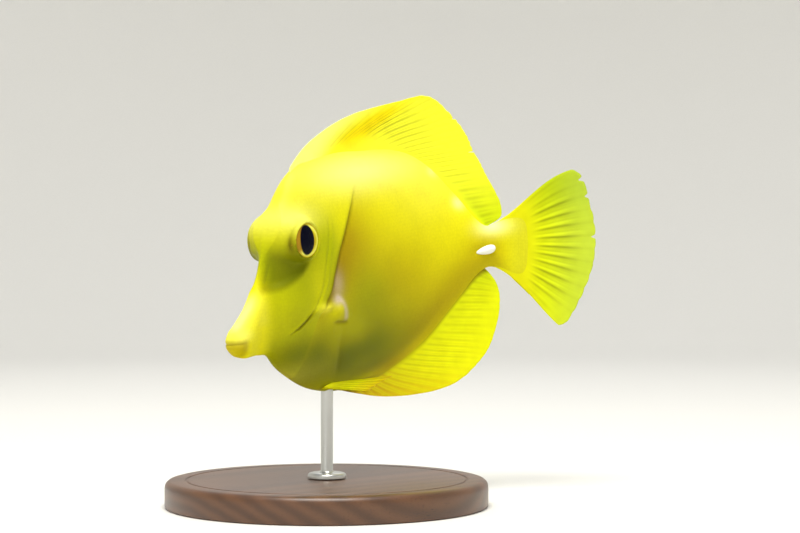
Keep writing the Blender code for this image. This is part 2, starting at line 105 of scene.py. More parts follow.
def addNode(tree, kind, settings=None, links=None):
    # settings are the node's own values or its sockets by name or number, links feed sockets
    node = tree.nodes.new(kind)
    for name, value in (settings or {}).items():
        if isinstance(name, str) and hasattr(node, name):
            setattr(node, name, value)
        else:
            node.inputs[name].default_value = value
    for name, output in (links or {}).items():
        tree.links.new(output, node.inputs[name])
    return node


def newMaterial(name, sockets):
    # a material whose shader starts from the given sockets
    material = bpy.data.materials.new(name)
    material.use_nodes = True
    shader = material.node_tree.nodes["Principled BSDF"]
    for socket, value in sockets.items():
        shader.inputs[socket].default_value = value
    return material, material.node_tree, shader


def selectOnly(piece):
    bpy.ops.object.select_all(action="DESELECT")
    piece.select_set(True)
    bpy.context.view_layer.objects.active = piece


def finishPiece(piece, material, *nodes, smoothAngle=None):
    # smooth shading, its material, its body, and the solids that it stands for
    selectOnly(piece)
    if smoothAngle is None:
        bpy.ops.object.shade_smooth()
    else:
        bpy.ops.object.shade_smooth_by_angle(angle=math.radians(smoothAngle))
    piece.data.materials.clear()
    piece.data.materials.append(material)
    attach(piece, "root")
    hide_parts(*nodes)
    piece.select_set(False)


def readPlaces(piece):
    places = np.empty(len(piece.data.vertices) * 3, np.float32)
    piece.data.vertices.foreach_get("co", places)
    return places.reshape(-1, 3).astype(float)


def writePlaces(piece, places):
    # moves the vertices, and turns the faces outwards
    piece.data.vertices.foreach_set("co", np.asarray(places, np.float32).ravel())
    selectOnly(piece)
    bpy.ops.object.mode_set(mode="EDIT")
    bpy.ops.mesh.select_all(action="SELECT")
    bpy.ops.mesh.normals_make_consistent(inside=False)
    bpy.ops.object.mode_set(mode="OBJECT")


def writeMasks(piece, masks):
    # each mask is a number per vertex that the materials read by name
    for name, values in masks.items():
        values = np.asarray(values, np.float32)
        kind = "FLOAT" if values.ndim == 1 else "FLOAT_VECTOR"
        attribute = piece.data.attributes.new(name, kind, "POINT")
        attribute.data.foreach_set("value" if kind == "FLOAT" else "vector", values.ravel())


def addBall(name, columns, rows):
    # a ball, with the ring and the spoke that each vertex lies on
    bpy.ops.object.select_all(action="DESELECT")
    bpy.ops.mesh.primitive_uv_sphere_add(segments=columns, ring_count=rows, radius=1)
    piece = bpy.context.object
    piece.name = name
    x, y, z = readPlaces(piece).T
    row = np.rint(np.arccos(np.clip(z, -1, 1)) / math.pi * rows).astype(int)
    column = np.rint(np.arctan2(y, x) / (2 * math.pi) * columns).astype(int) % columns
    column[(row == 0) | (row == rows)] = 0
    return piece, row, column


def addSheet(name, columns, rows):
    # a thin flat sheet: u runs along its root, v from its root to its margin, and its faces are 1 and -1
    bpy.ops.object.select_all(action="DESELECT")
    bpy.ops.mesh.primitive_grid_add(x_subdivisions=columns, y_subdivisions=rows, size=2)
    piece = bpy.context.object
    piece.name = name
    solid = piece.modifiers.new("thickness", "SOLIDIFY")
    solid.thickness = 0.2
    solid.offset = 0
    bpy.ops.object.modifier_apply(modifier=solid.name)
    x, y, z = readPlaces(piece).T
    return piece, np.clip((x + 1) / 2, 0, 1), np.clip((y + 1) / 2, 0, 1), np.sign(z)


# the pose

pose = {
    "unit": 0.001,  # one percent of the standard length, in metres
    "step": 0.25,  # between two stations of the spine
    # degrees that the spine turns to the right flank and rises, along the fish
    "heading": curve((-6, 14), (30, 12), (60, 1), (85, -18), (100, -32), (130, -42)),
    "rise": curve((-6, 7), (60, 7), (95, 7), (108, 0), (130, 0)),
    "rodStation": 38,
    "bellyHeight": 29.715,  # of the belly where the rod enters it
}


def spineAxes(x):
    # which way is along the spine, to the right flank and to the back
    heading, rise = np.radians(pose["heading"](x)), np.radians(pose["rise"](x))
    along = [np.cos(rise) * np.cos(heading), np.cos(rise) * np.sin(heading), np.sin(rise)]
    right = [-np.sin(heading), np.cos(heading), 0 * x]
    up = [-np.sin(rise) * np.cos(heading), -np.sin(rise) * np.sin(heading), np.cos(rise)]
    return [np.stack(axis, -1) for axis in (along, right, up)]


stations = np.arange(-8, 140, pose["step"])
spineWay = spineAxes(stations)[0]
spineStep = (spineWay[1:] + spineWay[:-1]) / 2 * pose["step"]
spine = np.concatenate([np.zeros((1, 3)), np.cumsum(spineStep, axis=0)])


def bent(places):
    # from the straight fish to the bent one, still in percent
    x, y, z = places.T
    centre = np.stack([np.interp(x, stations, spine[:, i]) for i in range(3)], -1)
    right, up = spineAxes(x)[1:]
    return centre + right * y[:, None] + up * z[:, None]


# the body

body = {
    "columns": 384,
    "snout": -0.7, "noseRound": 1.8, "end": 110,
    "noseRows": 16,
    "rows": [(1.1, 36, 124), (36, 40, 18), (40, 60, 40), (60, 98, 40), (98, 110, 18)],  # from, to, how many
    # near the gill cover the rows follow its edge
    "follow": {"x": 38, "reach": 30, "heights": (-22, 26), "rounds": 14},
    "back": curve(
        (-2, -10.2), (5, -5.9), (8, -3.3), (10, -0.8), (12, 2.4), (14.5, 7.8), (17, 12.8), (20, 17.3),
        (24, 22), (28, 25.9), (32, 28), (37, 29), (42, 29.7), (50, 30.4), (58, 29.9), (64, 29.3),
        (70, 28.1), (77, 25.5), (84, 20.4), (90, 13.3), (95, 7), (97.5, 5.3), (100, 5.9), (102, 7),
        (104.4, 8.5), (107, 10.4), (110, 12.9)),
    "belly": curve(
        (-2, -14.4), (3, -16.5), (10, -16.9), (14, -17.8), (18, -21.6), (23, -25), (28, -27.8), (35, -30.2),
        (41, -31.2), (47, -31.2), (54, -30), (62, -27.7), (68, -25.3), (75, -21.5), (82, -16.1),
        (88, -11.4), (94, -7), (97.5, -6.1), (100.8, -7.2), (102.7, -8.4), (105, -10.5), (107.9, -13),
        (110, -15)),
    "halfWidth": curve(
        (-2, 2.1), (2, 2.8), (6, 2.8), (10, 2.6), (14, 3.3), (18, 5), (22, 6.5), (30, 8), (40, 8.4),
        (55, 7.7), (70, 6), (82, 4.2), (92, 2.9), (98, 2.1), (101, 1.62), (104, 1.15), (107, 0.76),
        (110, 0.4)),
    "widest": curve(  # the height where a section is widest
        (-2, -12.3), (5, -11), (10, -6), (16, -2), (22, 2), (30, 2), (80, 2), (94, 0.5), (107, 0)),
    "keel": curve(  # over 1 the back and belly are sharper, under 1 they are fuller
        (-2, 1), (10, 1), (14, 0.9), (18, 0.88), (24, 1.1), (32, 1.2), (40, 1.1), (60, 1), (107, 1)),
    # how far the skin climbs the root of the dorsal and of the anal fin
    "dorsalSheath": curve(
        (24, 0), (27, 0.3), (32, 0.6), (38, 0.5), (46, 0.5), (54, 0.6), (62, 1.2), (72, 2.2), (84, 2.5),
        (92, 1.5), (97, 0), (97.4, 0), (110, 0)),
    "analSheath": curve(
        (36, 0), (41.6, 0), (42, 0), (47, 0.6), (52, 1.4), (58, 1.8), (75, 1.6), (88, 1.2), (93, 0.6),
        (97, 0), (97.4, 0), (110, 0)),
    "sheathWidth": 0.8,
}
eye = {
    "x": 23.8, "z": 10.2, "turn": math.radians(6.5),
    "opening": 4.4,  # radius of the opening that the lids leave
    "dome": curve(  # how far from the middle the dome stands, from its centre outwards
        (0, 7.9), (4.7, 7.9), (5.2, 7.45), (6, 6.45), (6.5, 5.65), (7, 4.75), (7.6, 3.8), (8.3, 2.8),
        (9, 1.7), (10, 0)),
    "swelling": {"height": 5.2, "reach": 8.2, "blend": math.sqrt(0.6)},  # the brow that carries the dome
    "lids": [(0.14, 4.65, 0.26), (0.09, 5.5, 0.2)],  # height, radius and width of each rim
    "backFold": {"height": 0.14, "radius": 6.2, "width": 0.35, "stretch": 1.2},
    "frontDip": {"depth": 0.12, "radius": 4.8, "width": 1.2},
    "underDip": 0.9, "underStretch": 0.9,  # under the eye the dome is lower and steeper
    "crescent": {  # the furrow ahead of the ball
        "depth": 0.6, "away": 5.3, "width": 0.5, "z": 9.7, "halfHeight": 2.6},
    "seat": 1.2,  # inside the lids the skin lies this far behind the ball's centre
    "ball": {"radius": 5.15, "depth": 1.9, "centre": 6.7, "columns": 128, "rows": 96},
    "pupil": {"x": 23.25, "z": 10.4, "radii": (2.55, 3.9)},
}
gillLine = curve(
    (-60, 22), (-20, 24), (-14, 26), (-9, 28.6), (-6.7, 30.5), (-4.3, 32.5), (0.6, 34.5), (5.3, 36.9),
    (10.4, 40.5), (15.8, 44.4), (21.7, 48.4), (28, 50), (60, 48))
cheekLine = curve(
    (-30, 10), (-14.5, 14.8), (-12.3, 20.1), (-8.1, 25.8), (-4.4, 28.5), (-1.2, 30), (1.8, 30.8),
    (4.8, 31.7), (8.4, 33.2), (12.2, 34.3), (14.7, 34.8), (24, 37))
hollowEdge = curve(
    (7, -2.6), (11.8, -1.3), (14.6, -1.5), (16.3, -1.3), (19.5, 0), (22.4, 1.7), (24.1, 3.3), (25.5, 4.7),
    (29, 9), (31, 13))
relief = {
    # round forms: height, place and reach
    "forms": [
        (-0.8, (14.6, 3), (3.6, 5)), (0.4, (19, -6), (6, 4)),  # side of the nose, and cheek
        (0.9, (30.2, -7.7), (2.8, 1.1)), (1.2, (35.4, -9.2), (2.3, 2.4)),  # lobes at the pectoral root
        (-0.35, (33, -8.4), (0.6, 1)),  # the gap between the two lobes
        (-0.5, (96, -1.5), (3.6, 1.3)),  # groove of the tail spine
    ],
    "hollow": 0.8, "lobeFold": 0.4, "breastFurrow": 0.2,  # depths
    "gillCover": (0.3, 3.5), "gillStep": (0.7, 0.8), "gillDip": (0.25, 5),  # height and reach
    "cheekFold": (0.12, 0.38, 0.32),  # depth, how much deeper it ends, and width
    "cheekRims": [(0.10, -0.7, 0.6), (0.12, 0.9, 0.5)],  # height, place across the fold, and width
    # the heights at which these lines fade in and out
    "gillSpan": (-11, -6.5, 16, 22.5), "cheekSpan": (-13.2, -12.3, 13, 17),
    "breastSpan": (-27, -24, -17, -15.5),
    "mouth": -12.6,  # height of the slit between the lips
    "lip": 0.14, "lipBack": 0.1, "slit": 0.16,  # heights of the lips, and depths behind and between them
    "fade": 2.5,  # nearer to the middle than this, the forms of the flank fade out
}


def section(x, angle):
    # the body's bare section, from the back at angle 0, by the right flank, round to the back
    ahead = 1 - np.clip((x - body["snout"]) / body["noseRound"], 0, 1)
    nose = np.sqrt(1 - ahead ** 2)
    widest, rise = body["widest"](x), np.cos(angle)
    reach = np.where(rise > 0, body["back"](x) - widest, widest - body["belly"](x))
    z = widest + np.sign(rise) * np.abs(rise) ** body["keel"](x) * reach * nose
    return body["halfWidth"](x) * nose * np.sin(angle), z


def skinRows():
    turn = np.linspace(0, math.pi / 2, body["noseRows"], endpoint=False)
    parts = [body["snout"] + body["noseRound"] * (1 - np.cos(turn))]
    for first, last, count in body["rows"]:
        parts.append(np.linspace(first, last, count, endpoint=False))
    return np.concatenate(parts + [[body["end"]]])


# how far a place lies behind the gill cover's edge and the cheek's fold, and above the hollow's edge;
# each factor turns a distance along x or z into one square to the slanting line
def fromGill(x, z):
    return (x - gillLine(z)) * 0.88


def fromCheek(x, z):
    return (x - cheekLine(z)) * 0.8


def fromHollow(x, z):
    return (z - hollowEdge(x)) * 0.85


def hollowReach(x, z):
    # the hollow under and ahead of the eye, without its sharp lower edge
    return between(8.5, 13, x - 0.12 * z) * (1 - between(23, 28, x)) * (1 - between(5, 13.5, z))


def lobeFold(x, z):
    # the fold under the fleshy lobes
    return groove(z + 12.2 + 0.13 * (x - 36), 0.4) * band(33.5, 35, 38.5, 40, x)


def breastFurrow(x, z, at, width):
    return groove(x - at, width) * band(*relief["breastSpan"], z)


def crescent(x, z):
    furrow = eye["crescent"]
    away = np.hypot(x - eye["x"], z - eye["z"])
    ring = groove(away - furrow["away"], furrow["width"]) * groove(z - furrow["z"], furrow["halfHeight"])
    return ring * (x < eye["x"])


def headRelief(x, y, z):
    # height of the skin's forms over the bare section, along its outward direction
    form = hills(x, z, relief["forms"])
    form -= relief["hollow"] * between(0, 2.2, fromHollow(x, z)) * hollowReach(x, z)
    form -= relief["lobeFold"] * lobeFold(x, z) + relief["breastFurrow"] * breastFurrow(x, z, 37.3, 0.7)
    # edge of the gill cover, with the flank lower behind it
    away = fromGill(x, z)
    (cover, coverReach), (step, stepReach), (dip, dipReach) = (
        relief["gillCover"], relief["gillStep"], relief["gillDip"])
    cover = cover * np.exp(np.minimum(away, 0) / coverReach)
    behind = np.maximum(away, 0)
    flank = -step * np.exp(-behind / stepReach) - dip * np.exp(-behind / dipReach)
    form += band(*relief["gillSpan"], z) * (cover + (flank - cover) * between(-0.1, 0.3, away))
    # fold of the cheek between two low rims, deeper where it ends under the gill cover
    away = fromCheek(x, z)
    depth, deeper, width = relief["cheekFold"]
    fold = (depth + deeper * (1 - between(-8.2, -7.6, z))) * groove(away - 0.1, width)
    rims = sum(height * groove(away - at, wide) for height, at, wide in relief["cheekRims"])
    form += band(*relief["cheekSpan"], z) * (rims - fold)
    # lips
    gape = z - relief["mouth"]
    lips = relief["lip"] * (groove(gape - 0.9, 0.8) + groove(gape + 1, 0.8)) * groove(x + 0.4, 1.8)
    lips -= relief["lipBack"] * groove(x - 2.9, 0.9) * groove(gape, 3)
    lips -= relief["slit"] * groove(gape, 0.24) * (1 - between(0.8, 2.4, x))
    return form * np.clip(np.abs(y) / relief["fade"], 0, 1) + lips


def eyeRelief(x, y, z):
    # the dome that carries the eye, and its lids, as a new distance from the middle
    flank = np.abs(y)
    fromX, fromZ = x - eye["x"], z - eye["z"]
    away = np.hypot(fromX, fromZ)
    under = between(0.3, 1, -fromZ / (away + 0.1))
    lean = math.tan(eye["turn"]) * np.clip(fromX, -10, 10)
    away = away + eye["underStretch"] * under * between(4.7, 6.6, away)
    swelling = eye["swelling"]
    target = (swelling["height"] + lean) * np.exp(-(away / swelling["reach"]) ** 4)
    lifted = softMax(flank, target, swelling["blend"]) - 0.1
    wide = flank + np.maximum(lifted - flank, 0) * np.clip(flank / 2, 0, 1)
    dome = eye["dome"](away) + lean - 6 * between(9.2, 10, away)
    # the lids: low in front and below, with a fold that lies further out behind the eye
    for height, radius, width in eye["lids"]:
        dome += height * groove(away - radius, width)
    fold = eye["backFold"]
    oval = np.hypot(fromX / fold["stretch"], fromZ)
    dome += fold["height"] * groove(oval - fold["radius"], fold["width"])
    dip = eye["frontDip"]
    ahead = between(0.2, 0.9, -fromX / (away + 0.1))
    dome -= dip["depth"] * ahead * groove(away - dip["radius"], dip["width"])
    dome -= eye["underDip"] * between(1.5, 5, -fromZ) * between(5, 6, away)
    dome -= eye["crescent"]["depth"] * crescent(x, z)
    wide = np.where(flank > 0.8, softMax(wide, dome, 0.7) - 0.04, wide)
    seat = eye["ball"]["centre"] - eye["seat"] + lean
    inside = 1 - between(eye["opening"] - 0.2, eye["opening"], away)
    return np.sign(y) * np.where(flank > 2, wide + (seat - wide) * inside, wide)


# round spots of each tint on the flank: strength, place and reach; a minus takes the tint away
tintSpots = {
    "lobes": [(1, (30.2, -7.7), (3, 1.2)), (0.5, (35.8, -8.6), (2.2, 2))],
    "warmShoulder": [(0.68, (39.7, 8.2), (13, 12.5)), (0.67, (30.2, -3.9), (9.6, 8.8))],
    "warmFlank": [(0.46, (63.8, -4.4), (18, 12.4))],
    "warmGap": [(0.9, (33.4, -10.4), (4.4, 3.4))],
    # warm painted shade: above the eye's dome on the nape, and along the lower edge of the body over the
    # anal fin's root
    "warmShade": [(0.1, (25, 20.5), (6, 3)), (0.4, (58, -27.5), (12, 3.2))],
    # green tone and painted shade on the side of the face, on the brow and on the lower flank, which face
    # away from the light above
    "greenFaceShade": [(0.66, (24.2, 0), (23.4, 17.2)), (0.26, (33.5, 9.5), (4, 6))],
    "greenGap": [(0.3, (27.6, -1.5), (2.6, 6))],
    "greenBrowShade": [(0.3, (15.5, 5.5), (4, 5.5))],
    "greenFlankShade": [(0.45, (48.7, -6.6), (9.9, 8.3)), (0.14, (25, -15), (12, 8))],
    # olive painted shade on the lower side, where the light from above falls off: belly, throat, breast and
    # chin, with gaps where it is lighter
    "bellyShade": [(0.91, (46.7, -22), (24.8, 13))],
    "bellyShadeGaps": [(0.28, (44, -15), (6, 4)), (0.1, (48, -24), (7, 4))],
    "throatShade": [(0.2, (26, -18), (9, 5)), (0.2, (21, -22.5), (10, 5.5)), (0.12, (28, -26.5), (7, 2.5)),
                    (0.06, (27.5, -17.5), (4.5, 4)), (-0.14, (36, -17), (5, 5))],
    "breastShade": [(0.1, (37, -20), (5, 6))],
    "chinShade": [(0.5, (18.2, -18), (12, 6))],
    # painted highlights where the light from above falls: on the back, the forehead, the root of the tail
    # fin, the rump, a lobe and the upper lip
    "paintedHighlight": [(0.63, (52.7, 25), (21.8, 4.7)), (0.32, (22.9, 16.2), (8.2, 3.5)),  # the back and the forehead
             (1, (99, 4.9), (4.5, 2.2)), (0.12, (82, 20), (16, 9)),  # the root of the tail fin, the rump
             (0.8, (89.9, 12.5), (1.9, 1.6)), (0.4, (83.5, 22), (1.6, 1.3)),
             (0.14, (30.2, -7.7), (2.6, 1.1)), (0.3, (1.5, -10.5), (3.5, 1.8))],  # a lobe, the upper lip
    "pearlGill": [(0.45, (35.8, -2.6), (2.2, 3.6))],
    "pearl": [(0.7, (34.9, -6.4), (1.3, 1.2)), (0.09, (20, -25), (11, 4))],
}


def skinMasks(x, y, z):
    # where each tint lies, on the skin and on the fins
    def spots(name):
        return hills(x, z, tintSpots[name])

    flank = np.abs(y)
    edge = z - body["belly"](x)
    behind = between(-0.4, 0.6, x - gillLine(z))
    # painted shade in the hollow under and ahead of the eye, where the brow keeps the light off; it goes
    # into the warm and the olive tints
    hollow = between(-1, 0.9, fromHollow(x, z)) * hollowReach(x, z) * between(-0.2, 2.4, flank)
    # the tints of the lower side end where the anal fin begins, and leave the fleshy lobes bare
    low, high = -2.6 + 0.5 * between(68, 86, x), 0.7 - 0.8 * between(60, 80, x)
    foot = 1 - between(45, 52, x) * (1 - between(low, high, edge))
    bare = foot * (1 - spots("lobes"))

    warm = spots("warmShoulder") * behind + spots("warmFlank")
    # a warm band on the lower rear flank: partly orange skin, partly painted shade above the anal fin
    warm = warm + 0.48 * groove(edge - 3.1, 8.5) * band(50, 70, 98, 105, x)
    warm = warm * bare * (1 - spots("warmGap")) + spots("warmShade")
    warm = warm + 0.5 * (1 - between(1.5, 4, x)) * band(-16.8, -15.5, -12.5, -11, z)  # lower lip
    warm = np.maximum(warm, 0.52 * hollow * (1 - between(1, 10, z)))

    # the green tint is partly green tone and partly painted shade on the face, the brow and the lower flank
    green = spots("greenFaceShade") * (1 - spots("greenGap")) * (1 - behind) * between(9, 15, x)
    green = green + spots("greenBrowShade") * groove(flank, 2.4) + spots("greenFlankShade")
    green = green * bare + 0.24 * between(99, 107, x)

    # the olive tint is painted shade: under the belly, throat and chin, and in the hollow under the eye
    paintedShade = spots("bellyShade") * behind * (1 - spots("bellyShadeGaps")) + spots("throatShade")
    paintedShade = paintedShade + spots("breastShade") * between(36.5, 38, x)
    paintedShade = paintedShade + spots("chinShade") * (1 - behind) * between(10, 15, x)
    paintedShade = paintedShade - 0.42 * groove(edge - 0.4, 2.2) * between(42, 52, x)
    paintedShade = np.maximum(paintedShade * bare, 0.6 * hollow * (0.6 + 0.4 * between(13, 20, x)))

    # the pale tint is painted highlight, also along the ridge of the nose
    paintedHighlight = spots("paintedHighlight") + 0.03 * between(101, 107, x)
    noseRidge = groove(flank, 1.8) * band(-10.5, -8, -5, 0, z) * (1 - between(10, 14, x))
    paintedHighlight = paintedHighlight + 0.6 * noseRidge

    # the dark tint is painted shade in the creases: the gill slit, the cheek's fold, the furrow ahead of
    # the eye, the mouth's slit, the fold under the lobes and the breast's furrow
    dark = 0.9 * groove(fromGill(x, z) + 0.1, 0.75) * band(-9, -6.5, 14, 22.5, z)
    dark = dark + 0.8 * groove(fromCheek(x, z) - 0.1, 0.6) * band(-12.8, -11.6, -9.2, -7.8, z)
    dark = dark + crescent(x, z) * between(3, 4, flank)
    dark = dark + 0.2 * groove(z - relief["mouth"], 0.35) * (1 - between(1, 2.6, x))
    dark = dark + 0.6 * lobeFold(x, z) + 0.14 * breastFurrow(x, z, 37.6, 1.4)

    # pearly skin behind the gill cover and in an arc round the root of the pectoral fin
    arc = groove(np.hypot(x - 32.5, z + 11.5) - 6.35, 0.75)
    pearl = 0.8 * arc * between(-12.8, -11, z) * between(34, 36, x)
    pearl = pearl + spots("pearlGill") * behind + spots("pearl")

    masks = {"paintedHighlight": paintedHighlight, "warm": warm, "paintedShade": paintedShade, "green": green, "dark": dark, "pearl": pearl,
             "foot": foot}
    return {name: np.clip(value, 0, 1) for name, value in masks.items()}


def skinGrid():
    # the skin's places, by row from the snout to the tail and by column round the body
    angle = np.linspace(0, 2 * math.pi, body["columns"], endpoint=False)[None, :]
    row = skinRows()[:, None] + 0 * angle
    near = body["follow"]
    follow = np.clip(1 - ((row - near["x"]) / near["reach"]) ** 2, 0, 1) ** 2
    x = row
    for attempt in range(near["rounds"]):
        y, z = section(x, angle)
        x = row + (gillLine(np.clip(z, *near["heights"])) - near["x"]) * follow
    y, z = section(x, angle)
    # the skin climbs the fins in a thin hollow-sided sheath
    width = body["sheathWidth"]
    climb = np.where(np.cos(angle) > 0, body["dorsalSheath"](x), 0)
    climb = climb - np.where(np.cos(angle) < 0, body["analSheath"](x), 0)
    z = z + climb * (0.6 * groove(y, width) + 0.4 * groove(y, 2.8 * width))
    places = np.stack([x, y, z], -1)
    along = np.gradient(places, axis=0)
    around = np.roll(places, -1, axis=1) - np.roll(places, 1, axis=1)
    out = np.cross(along, around)
    out[0], out[-1] = (-1, 0, 0), (1, 0, 0)
    out /= np.linalg.norm(out, axis=-1, keepdims=True) + 1e-9
    x, y, z = np.moveaxis(places + out * headRelief(x, y, z)[..., None], -1, 0)
    # vertices next to the lids are moved onto their edge
    fromX, fromZ = x - eye["x"], z - eye["z"]
    away = np.hypot(fromX, fromZ) + 1e-9
    byLid = (np.abs(away - eye["opening"]) < 0.15) & (np.abs(y) > 2)
    pull = np.where(byLid, eye["opening"] / away, 1)
    x, z = eye["x"] + fromX * pull, eye["z"] + fromZ * pull
    return np.stack([x, eyeRelief(x, y, z), z], -1)


def onStand(places):
    # bent, and set down with the belly on the rod, in metres
    entry = bent(np.array([[pose["rodStation"], 0, float(body["belly"](pose["rodStation"]))]]))[0]
    return (bent(places) - entry + (0, 0, pose["bellyHeight"])) * pose["unit"]


def makeSkin():
    places = skinGrid()
    piece, row, column = addBall("fishSkin", body["columns"], len(places) - 1)
    straight = places[row, column]
    writePlaces(piece, onStand(straight))
    masks = skinMasks(*straight.T)
    masks.pop("foot")
    masks["straight"] = straight
    writeMasks(piece, masks)
    return piece


# the fins
#
# u runs from the front ray to the last one, or from the top one down, and v from the root to the
# margin. "early" and "late" bow the rays near the root and near the margin, "half" is half of the
# thickness, and "round" thins the first and the last ray. "ridge", "pleat", "fold" and "branch" shape
# the rays, "scallop" cuts the margin between them, and "lines" and "contrast" say where and how much
# they show. A notch in the margin has its ray, depth and width.

plainFin = {  # what most fins leave as it is
    "early": steady(0), "late": steady(0), "round": steady(0), "pleat": 0, "notches": [],
    "half": curve((0, 0.9), (0.2, 0.55), (0.5, 0.32), (0.75, 0.22), (1, 0.13)),
}
dorsal = {
    **plainFin, "span": (28.5, 96.5), "edge": "back", "sunk": -1.2, "rays": 33, "perRay": 14, "rows": 64,
    "tipX": curve(
        (28.5, 29.5), (31, 36), (34, 45), (38, 56), (42, 66), (46, 76), (50, 84.2), (54, 88.3), (57, 90.7),
        (62, 93.6), (66, 95), (72, 96.1), (78, 97.4), (84.5, 99), (88, 100.6), (92, 101.9),
        (95, 101.4), (96.5, 99.6)),
    "tipZ": curve(
        (28.5, 28.2), (31, 32.8), (34, 36.7), (38, 39.9), (42, 41.4), (46, 42.3), (50, 43), (54, 41.2),
        (57, 38.2), (62, 34), (66, 30.6), (72, 26.6), (78, 23.2), (84.5, 18.6), (88, 14.6), (92, 10.2),
        (95, 7.2), (96.5, 6)),
    "early": curve((0, 0), (0.17, 0.006), (0.3, 0.04), (0.42, 0.052), (0.52, 0.025), (0.62, 0), (1, 0)),
    "ridge": 0.12, "branch": 0.55, "scallop": 0.004, "fold": 0.2, "contrast": 0.8,
    "lines": lambda u, v: (
        between(0.1, 0.24, u) * between(0, 0.2, v - 0.2) * (1 - 0.65 * between(0.5, 0.9, v))
        * (0.8 + 0.2 * np.sin(21 * u)) * (1 - 0.5 * band(0.5, 0.62, 0.72, 0.8, u))
        * (1 - 0.4 * between(0.78, 0.9, u))),
    "notches": [(14.8, 0.02, 0.12), (21, 0.06, 0.1)],
    # soft warm folds that slant back behind the front edge, an orange tone that is partly painted shade in
    # the folds: strength, height, width, place and reach
    "warmFoldShade": [(0.42, 0, 3.2, 57, 10), (0.36, 1.4, 2, 70, 9)],
    "slant": {"x": 61, "z": 35.6, "slope": 0.26},
}
anal = {
    **plainFin, "span": (42.5, 95), "edge": "belly", "sunk": 1.2, "rays": 26, "perRay": 14, "rows": 56,
    "tipX": curve(
        (42.5, 44.5), (46, 50.5), (50, 59), (53, 67.5), (55.5, 75), (57.5, 80), (60.5, 85), (63.5, 88.7),
        (67, 91.4), (70, 93.2), (73.2, 95.2), (75, 96.3), (77.8, 97.9), (80.5, 99), (84, 99.7),
        (89.3, 99.5), (93, 98.3), (95, 96.8)),
    "tipZ": curve(
        (42.5, -31.8), (46, -33.6), (50, -35.8), (53, -37), (55.5, -37.3), (57.5, -36.8), (60.5, -35.1),
        (63.5, -32.9), (67, -30.9), (70, -29.3), (73.2, -27), (75, -25.3), (77.8, -22.2), (80.5, -19.4),
        (84, -16), (89.3, -12.2), (93, -9.4), (95, -7.4)),
    "early": steady(-0.02),
    "ridge": 0.14, "branch": 0.55, "scallop": 0.002, "fold": 0.22, "contrast": 0.36,
    "lines": lambda u, v: (
        between(0.1, 0.25, v) * (1 - 0.7 * between(0.6, 0.95, v)) * (0.85 + 0.15 * np.sin(17 * u))),
}
caudal = {
    "root": 97.5, "middle": -0.5, "halfRoot": 5.2, "rays": 14, "perRay": 24, "rows": 80,
    "tipX": curve(
        (0, 120.4), (0.051, 122.7), (0.088, 123.9), (0.17, 125.2), (0.245, 126.1), (0.311, 127.1),
        (0.382, 127.7), (0.436, 127.9), (0.497, 127.8), (0.581, 127.3), (0.681, 126), (0.791, 124.1),
        (0.89, 122), (0.965, 119.9), (1, 118.2)),
    "tipZ": curve(
        (0, 20.7), (0.051, 19.9), (0.088, 18.4), (0.17, 14.6), (0.245, 11), (0.311, 8), (0.382, 4.6),
        (0.436, 2), (0.497, -1), (0.581, -5.1), (0.681, -9.8), (0.791, -14.9), (0.89, -19.2),
        (0.965, -22.1), (1, -22.6)),
    "early": lambda u: -0.048 * (1 - 2 * u),
    "late": lambda u: 0.049 * (1 - between(0, 0.5, u)),
    "half": curve((0, 1.1), (0.1, 1.05), (0.2, 0.85), (0.35, 0.6), (0.6, 0.36), (0.8, 0.24), (1, 0.13)),
    "round": lambda v: 0.6 * (1 - between(0.1, 0.4, v)),
    "ridge": 0.1, "pleat": 0.1, "branch": 0.25, "scallop": 0.006, "fold": 0.15, "contrast": 1,
    "lines": lambda u, v: (
        between(0.4, 0.56, v) * (1 - 0.85 * between(0.7, 0.92, v))
        * (0.3 + 0.7 * between(0.08, 0.2, u)) * (1 - 0.75 * between(0.82, 0.95, u))),
    "notches": [(1.2, 0.05, 0.14), (2.5, 0.03, 0.12), (5.6, 0.035, 0.1)],
}
pectoral = {
    **plainFin, "root": [(36, 6.6, -8.2), (-2.4, 0, -3.4)],  # where its root starts, and how far it runs
    "hub": (35, 9.3, -9.4),  # its rays fan out from here
    "turn": lambda u: -24 - 82 * u, "length": lambda u: 23 - 17 * u + 8 * u * u,
    "outwards": lambda u: 0.36 - 0.22 * u,
    "rays": 14, "perRay": 14, "rows": 44,
    "half": curve((0, 0.5), (0.3, 0.3), (1, 0.1)),
    "ridge": 0.12, "pleat": 0.1, "branch": 0.5, "scallop": 0.01, "fold": 0.2, "contrast": 1,
    "lines": lambda u, v: between(0, 0.1, v),
}
pelvic = {
    **plainFin, "root": [(33.4, 2.5, -29), (2.6, 0.4, 0.5)],
    "tip": [(49.5, 4.4, -32.7), (11.5, -1.8, 2.2)], "tipPower": 1.3,
    "rays": 6, "perRay": 16, "rows": 40,
    "half": curve((0, 0.62), (0.3, 0.4), (1, 0.13)),
    "ridge": 0.16, "pleat": 0.08, "branch": 0.5, "scallop": 0.01, "fold": 0.2, "contrast": 0.6,
    "lines": lambda u, v: between(0, 0.2, v),
}


# each of these gives the places of a fin's root and of its margin
def medianPlaces(fin):
    def placesAt(u):
        x = fin["span"][0] + (fin["span"][1] - fin["span"][0]) * u
        return (np.stack([x, 0 * u, body[fin["edge"]](x) + fin["sunk"]], -1),
                np.stack([fin["tipX"](x), 0 * u, fin["tipZ"](x)], -1))

    return placesAt


def caudalPlaces(u):
    height = caudal["middle"] + caudal["halfRoot"] * (1 - 2 * u)
    return (np.stack([caudal["root"] + 0 * u, 0 * u, height], -1),
            np.stack([caudal["tipX"](u), 0 * u, caudal["tipZ"](u)], -1))


